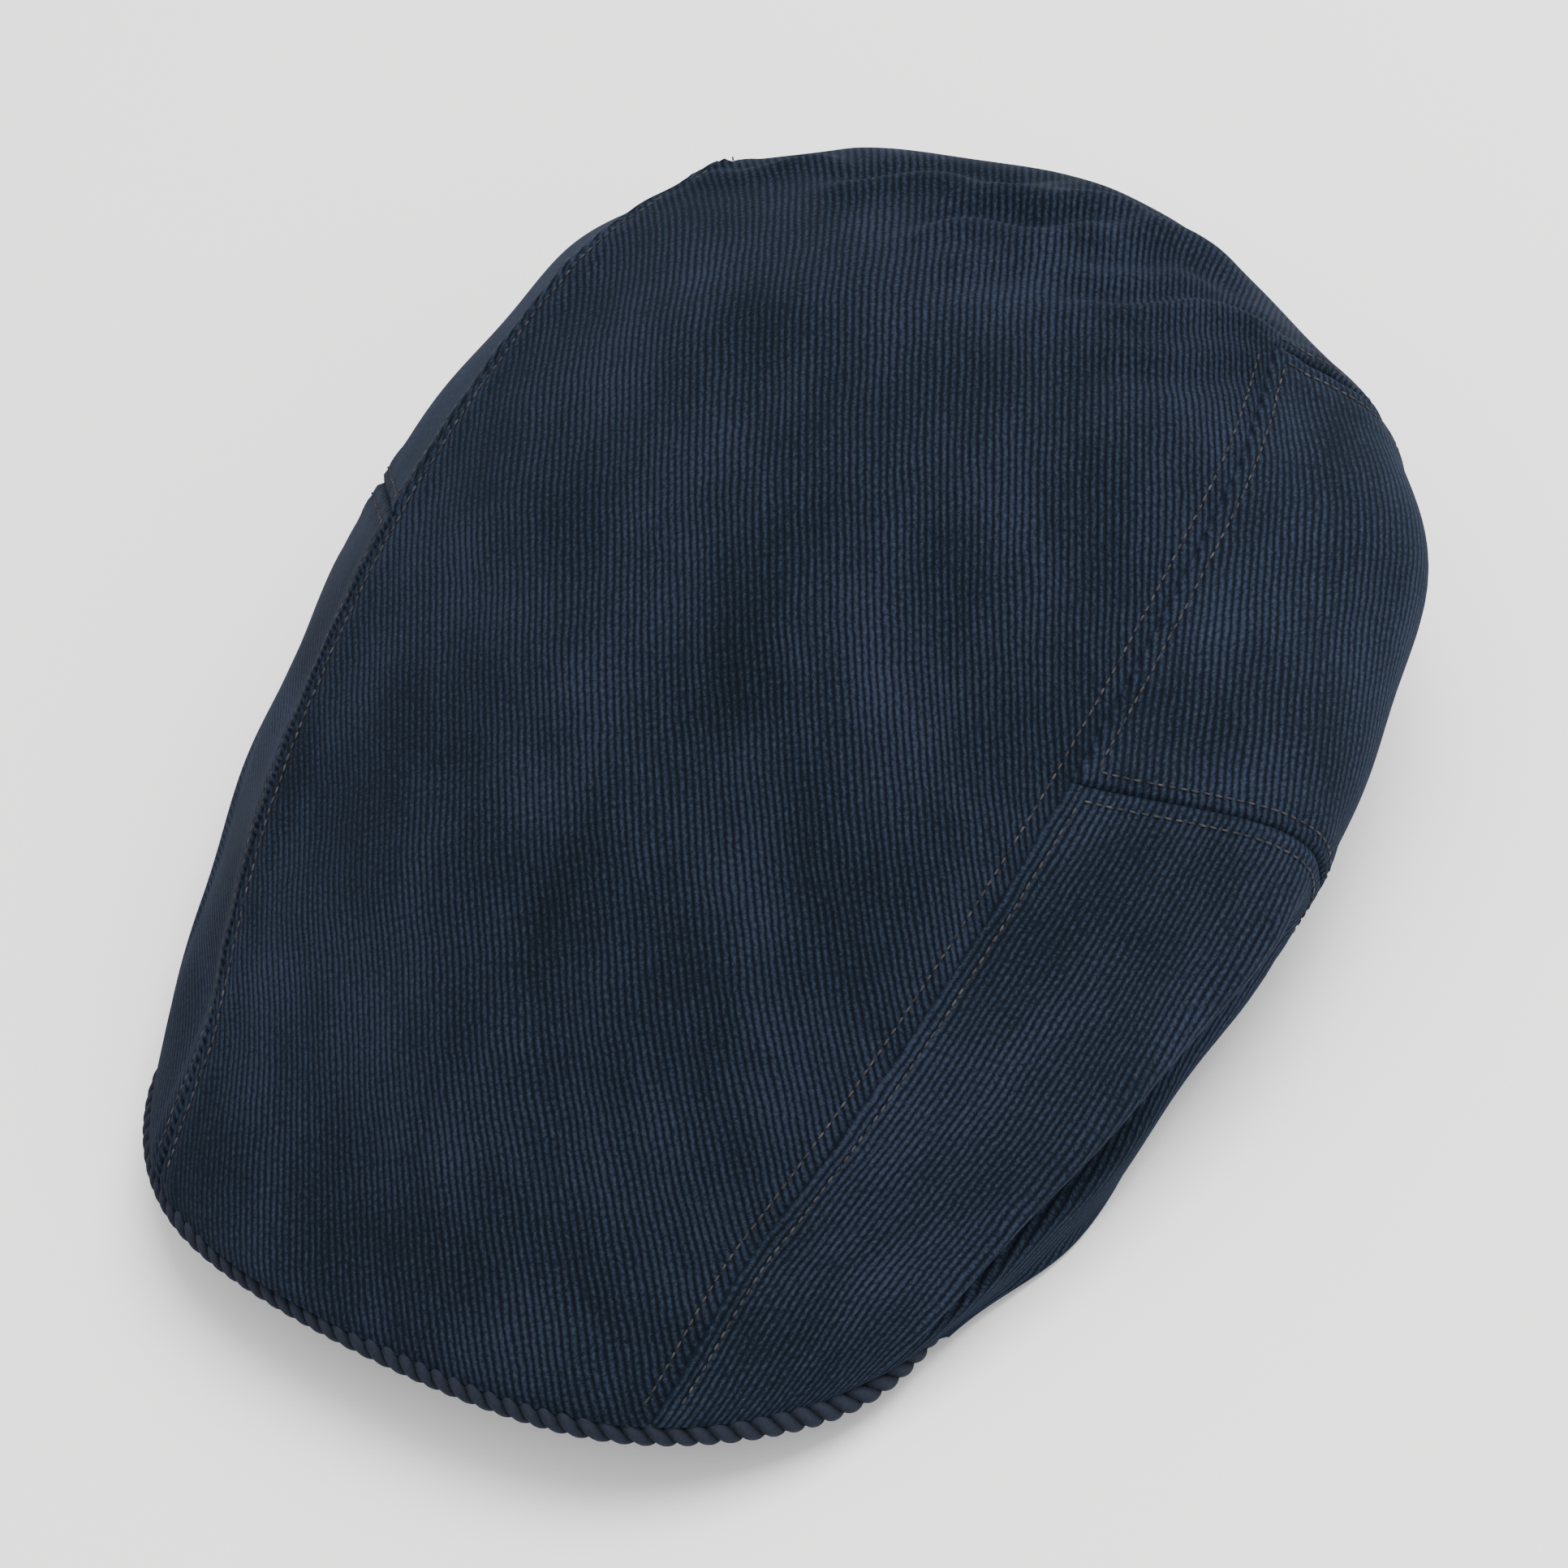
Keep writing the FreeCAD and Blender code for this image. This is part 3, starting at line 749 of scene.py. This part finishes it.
def blank_material(name, roughness, sheen, sheen_colour):
    material = bpy.data.materials.new(name)
    material.use_nodes = True
    shader = material.node_tree.nodes["Principled BSDF"]
    shader.inputs["Roughness"].default_value = roughness
    shader.inputs["Specular IOR Level"].default_value = 0.25
    shader.inputs["Sheen Weight"].default_value = sheen
    shader.inputs["Sheen Roughness"].default_value = 0.45
    shader.inputs["Sheen Tint"].default_value = linear(sheen_colour)
    return material, shader


def cloth_axes(material, grain):
    """The cloth coordinates, turned so that x runs across the ribs and y along them."""
    cloth = add(material, "ShaderNodeAttribute", {"attribute_name": "cloth"})
    turned = add(material, "ShaderNodeVectorRotate",
                 {"rotation_type": "Z_AXIS", "Angle": math.radians(grain)},
                 Vector=cloth.outputs["Vector"])
    return add(material, "ShaderNodeSeparateXYZ", {}, Vector=turned.outputs[0])


def noise(material, x, y, scale_x, scale_y, detail, offset=0.0):
    """Noise over the cloth with separate scales, in features per mm, across and along."""
    place = add(material, "ShaderNodeCombineXYZ", {"Z": offset},
                X=calc(material, "MULTIPLY", x, scale_x), Y=calc(material, "MULTIPLY", y, scale_y))
    return add(material, "ShaderNodeTexNoise", {"Scale": 1.0, "Detail": detail,
                                                "Roughness": 0.6},
               Vector=place.outputs[0]).outputs["Fac"]


# %% Corduroy
# Ramp colours: the ground darkened by painted shade in the grooves, the pile, and the pile tips
# lightened by a painted highlight.
GROUND_AND_GROOVE_SHADE, PILE, TIP_AND_HIGHLIGHT = "030508", "0d131d", "303a4c"


def corduroy(name, grain, value=1.0, pitch=1.5):
    """Ribbed cotton pile; grain turns the ribs, value is painted light and shade that lightens or
    darkens the whole panel for the way its nap lies.
    """
    material, shader = blank_material(name, 0.95, 0.07, "6c86b8")
    shader.inputs["Specular IOR Level"].default_value = 0.06
    axes = cloth_axes(material, grain)
    x, y = axes.outputs["X"], axes.outputs["Y"]
    drift = noise(material, x, y, 0.09, 0.05, 2, 3.0)
    waver = calc(material, "MULTIPLY", calc(material, "SUBTRACT", drift, 0.5), 1.6)
    x_bent = calc(material, "ADD", x, waver)
    wave = calc(material, "ABSOLUTE", calc(material, "SINE",
                                           calc(material, "MULTIPLY", x_bent, math.pi / pitch)))
    rib = calc(material, "POWER", wave, 0.75)
    fleck = noise(material, x_bent, y, 1.3, 1.15, 3, 1.0)
    fibre = noise(material, x_bent, y, 5.5, 3.2, 2, 7.0)
    lint = noise(material, x, y, 2.6, 2.6, 4, 11.0)
    stray = calc(material, "MULTIPLY", 2.2, calc(
        material, "MAXIMUM", calc(material, "SUBTRACT", lint, 0.66), 0))
    pile = calc(material, "ADD", calc(material, "MULTIPLY", rib, 0.4),
                calc(material, "ADD", calc(material, "MULTIPLY", fleck, 0.66),
                     calc(material, "MULTIPLY", fibre, 0.42)))
    pile = calc(material, "ADD", pile, stray)
    patch = noise(material, x, y, 0.035, 0.022, 3, 5.0)
    shade = calc(material, "MULTIPLY", 0.74, calc(
        material, "ADD", pile,
        calc(material, "MULTIPLY", calc(material, "SUBTRACT", patch, 0.5), 0.4)))
    # The ribs' height sets the colour as well as the bump: painted shade in the grooves, painted
    # highlight on the rib tops; flecks and patches are the pile's own uneven tone.
    ramp = add(material, "ShaderNodeValToRGB", {}, Fac=shade)
    ramp.color_ramp.elements[0].position = 0.3
    ramp.color_ramp.elements[0].color = linear(GROUND_AND_GROOVE_SHADE)
    ramp.color_ramp.elements[1].position = 0.92
    ramp.color_ramp.elements[1].color = linear(TIP_AND_HIGHLIGHT)
    body = ramp.color_ramp.elements.new(0.6)
    body.color = linear(PILE)
    # value scales the colour's brightness: painted light and shade, panel by panel.
    hue = add(material, "ShaderNodeHueSaturation", {"Saturation": 0.95, "Value": value},
              Color=ramp.outputs["Color"],
              Hue=calc(material, "ADD", calc(material, "MULTIPLY", patch, 0.05), 0.475))
    material.node_tree.links.new(hue.outputs[0], shader.inputs["Base Color"])
    relief = add(material, "ShaderNodeBump", {"Strength": 1.0, "Distance": 0.34 * MM},
                 Height=pile)
    material.node_tree.links.new(relief.outputs[0], shader.inputs["Normal"])
    return material


def rope_pile(name):
    """The roll's bold ribs: the same pile bent round the cord, with painted shade darkening the
    valleys between the ribs.
    """
    material, shader = blank_material(name, 0.95, 0.08, "7484a4")
    shader.inputs["Specular IOR Level"].default_value = 0.06
    axes = cloth_axes(material, 0)
    x, y = axes.outputs["X"], axes.outputs["Y"]
    fibre = noise(material, x, y, 1.6, 1.1, 4, 2.0)
    shade = calc(material, "ADD", calc(material, "MULTIPLY", axes.outputs["Z"], 0.6),
                 calc(material, "MULTIPLY", fibre, 0.55))
    # The rib height darkens the colour in the valleys: painted shade between the ribs.
    ramp = add(material, "ShaderNodeValToRGB", {}, Fac=shade)
    ramp.color_ramp.elements[0].position = 0.2
    ramp.color_ramp.elements[0].color = linear("040509")
    ramp.color_ramp.elements[1].color = linear("242832")
    material.node_tree.links.new(ramp.outputs["Color"], shader.inputs["Base Color"])
    relief = add(material, "ShaderNodeBump", {"Strength": 0.8, "Distance": 0.3 * MM},
                 Height=fibre)
    material.node_tree.links.new(relief.outputs[0], shader.inputs["Normal"])
    return material


# %% Lining satin, sweatband twill, thread and labels


def satin(name):
    """Smooth dark lining with a fine weave and a soft streak along the threads."""
    material, shader = blank_material(name, 0.42, 0.2, "8c93a5")
    axes = cloth_axes(material, 0)
    x, y = axes.outputs["X"], axes.outputs["Y"]
    streak = noise(material, x, y, 3.0, 0.15, 2, 1.0)
    ramp = add(material, "ShaderNodeValToRGB", {}, Fac=streak)
    ramp.color_ramp.elements[0].color = linear("15171d")
    ramp.color_ramp.elements[1].color = linear("2b2e38")
    material.node_tree.links.new(ramp.outputs["Color"], shader.inputs["Base Color"])
    weave = calc(material, "MULTIPLY",
                 calc(material, "SINE", calc(material, "MULTIPLY", x, 2 * math.pi / 0.35)),
                 calc(material, "SINE", calc(material, "MULTIPLY", y, 2 * math.pi / 0.35)))
    relief = add(material, "ShaderNodeBump", {"Strength": 0.35, "Distance": 0.06 * MM},
                 Height=weave)
    material.node_tree.links.new(relief.outputs[0], shader.inputs["Normal"])
    return material


def twill(name, dark, light, slant=45, pitch=0.55):
    """Woven cotton tape with a diagonal twill line."""
    material, shader = blank_material(name, 0.85, 0.3, "a0a4b0")
    axes = cloth_axes(material, slant)
    x, y = axes.outputs["X"], axes.outputs["Y"]
    lines = calc(material, "ABSOLUTE",
                 calc(material, "SINE", calc(material, "MULTIPLY", x, math.pi / pitch)))
    yarn = calc(material, "ADD", calc(material, "MULTIPLY", lines, 0.6),
                calc(material, "MULTIPLY", noise(material, x, y, 2.5, 2.5, 3, 2.0), 0.5))
    ramp = add(material, "ShaderNodeValToRGB", {}, Fac=yarn)
    ramp.color_ramp.elements[0].color = linear(dark)
    ramp.color_ramp.elements[1].color = linear(light)
    material.node_tree.links.new(ramp.outputs["Color"], shader.inputs["Base Color"])
    relief = add(material, "ShaderNodeBump", {"Strength": 0.8, "Distance": 0.12 * MM},
                 Height=yarn)
    material.node_tree.links.new(relief.outputs[0], shader.inputs["Normal"])
    return material


def cotton_thread(name):
    """Dull brown-grey sewing thread, twisted, varying from stitch to stitch."""
    material, shader = blank_material(name, 0.85, 0.05, "8c867c")
    place = add(material, "ShaderNodeTexCoord")
    mottle = add(material, "ShaderNodeTexNoise", {"Scale": 420.0, "Detail": 2.0},
                 Vector=place.outputs["Object"])
    ramp = add(material, "ShaderNodeValToRGB", {}, Fac=mottle.outputs["Fac"])
    ramp.color_ramp.elements[0].position = 0.3
    ramp.color_ramp.elements[0].color = linear("121317")
    ramp.color_ramp.elements[1].position = 0.7
    ramp.color_ramp.elements[1].color = linear("403d3c")
    material.node_tree.links.new(ramp.outputs["Color"], shader.inputs["Base Color"])
    relief = add(material, "ShaderNodeBump", {"Strength": 0.5, "Distance": 0.08 * MM},
                 Height=mottle.outputs["Fac"])
    material.node_tree.links.new(relief.outputs[0], shader.inputs["Normal"])
    return material


# %% [markdown]
# ## Dressing the pieces
# Each new piece stands for its CAD nodes and rides with the cap's one body.  The ribs of the
# crown strip lie about 32 degrees off its middle line, and each side panel has a grain of its
# own, as the cloth was laid when it was cut.

# %% Assigning materials, slots and CAD nodes
BODY = next(iter(frame["bodies"]))


def dress(piece, material, nodes):
    piece.data.materials.clear()
    piece.data.materials.append(material)
    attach(piece, BODY)
    if nodes:
        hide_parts(*nodes)


PANEL_GRAIN = {"crown_top": -32, "side_front_left": 0, "side_rear_left": -22,
               "side_front_right": 60, "side_rear_right": 20}
# Painted light and shade: each panel's colour is scaled lighter or darker for how its nap catches
# the light.
PANEL_PAINTED_LIGHT = {"crown_top": 0.95, "side_front_left": 1.08, "side_rear_left": 1.08,
               "side_front_right": 0.92, "side_rear_right": 1.1}
PANEL_NODE = {"crown_top": ["crown_top_panel", "crown_front_interlining"],
              "side_front_left": ["side_front_panel_left", "hem_band"],
              "side_front_right": ["side_front_panel_right"],
              "side_rear_left": ["side_rear_panel_left"],
              "side_rear_right": ["side_rear_panel_right"]}
for name, piece in panels.items():
    dress(piece, corduroy(f"corduroy {name}", PANEL_GRAIN[name], PANEL_PAINTED_LIGHT[name]),
          PANEL_NODE[name])
dress(under_cover, corduroy("corduroy visor underside", 0), ["visor_under_cover"])
dress(top_cover, corduroy("corduroy visor top", 0), ["visor_top_cover"])
dress(roll, rope_pile("corduroy roped edge"), ["visor_edge_roll"])
lining_satin = satin("lining satin")
for name, piece in lining.items():
    dress(piece, lining_satin, [name])
dress(band, twill("sweatband twill", "101116", "2c2e36"),
      ["sweatband_front", "sweatband_rear", "sweatband_elastic"])
dress(label, twill("woven label", "6b6a66", "a5a39d", 0, 0.4), ["lining_label"])
dress(tab, twill("woven size tab", "6b6a66", "a5a39d", 0, 0.4), ["size_tab"])
dress(thread, cotton_thread("brown-grey cotton thread"), [])
print("dressed", len(panels) + len(lining) + 7, "pieces")

# %% [markdown]
# ## Floor, light and camera
# A pale floor and a large soft light overhead keep the cloth's own colour.  The camera looks
# down on the wearer's left front, turned so that the cap's length leans across the frame.

# %% The studio


def plain_material(name, colour, roughness):
    material = bpy.data.materials.new(name)
    material.use_nodes = True
    shader = material.node_tree.nodes["Principled BSDF"]
    shader.inputs["Base Color"].default_value = linear(colour)
    shader.inputs["Roughness"].default_value = roughness
    return material


floor_shape = bmesh.new()
bmesh.ops.create_grid(floor_shape, x_segments=1, y_segments=1, size=3.0)
floor_mesh = bpy.data.meshes.new("floor")
floor_shape.to_mesh(floor_mesh)
floor_shape.free()
floor = bpy.data.objects.new("floor", floor_mesh)
scene.collection.objects.link(floor)
floor.data.materials.append(plain_material("pale floor", "fbfbfa", 0.9))


def soft_light(name, place, power, width):
    lamp = bpy.data.lights.new(name, "AREA")
    lamp.energy = power
    lamp.size = width
    stand = bpy.data.objects.new(name, lamp)
    stand.location = place
    stand.rotation_euler = (-Vector(place)).to_track_quat("-Z", "Y").to_euler()
    scene.collection.objects.link(stand)


soft_light("overhead softbox", (0.35, 0.55, 1.5), 42, 1.2)
soft_light("side fill", (1.4, -0.5, 0.8), 9, 1.0)
world = bpy.data.worlds.new("studio air")
world.use_nodes = True
world.node_tree.nodes["Background"].inputs["Color"].default_value = (1, 1, 1, 1)
world.node_tree.nodes["Background"].inputs["Strength"].default_value = 1.15
scene.world = world

AZIMUTH, ELEVATION, ROLL_ANGLE, DISTANCE = 49.9, 48.4, 19.8, 1.0
azimuth, elevation = math.radians(AZIMUTH), math.radians(ELEVATION)
away = Vector((math.sin(azimuth) * math.cos(elevation), -math.cos(azimuth) * math.cos(elevation),
               math.sin(elevation)))
camera = bpy.data.objects.new("camera", bpy.data.cameras.new("camera"))
camera.data.lens = 115.3
camera.data.shift_x, camera.data.shift_y = 0.016, -0.041
camera.location = Vector((0, 4.3, 45)) * MM + away * DISTANCE
level = away.to_track_quat("Z", "Y")
camera.rotation_euler = (level @ Matrix.Rotation(-math.radians(ROLL_ANGLE), 4, "Z"
                                                 ).to_quaternion()).to_euler()
scene.collection.objects.link(camera)
scene.camera = camera
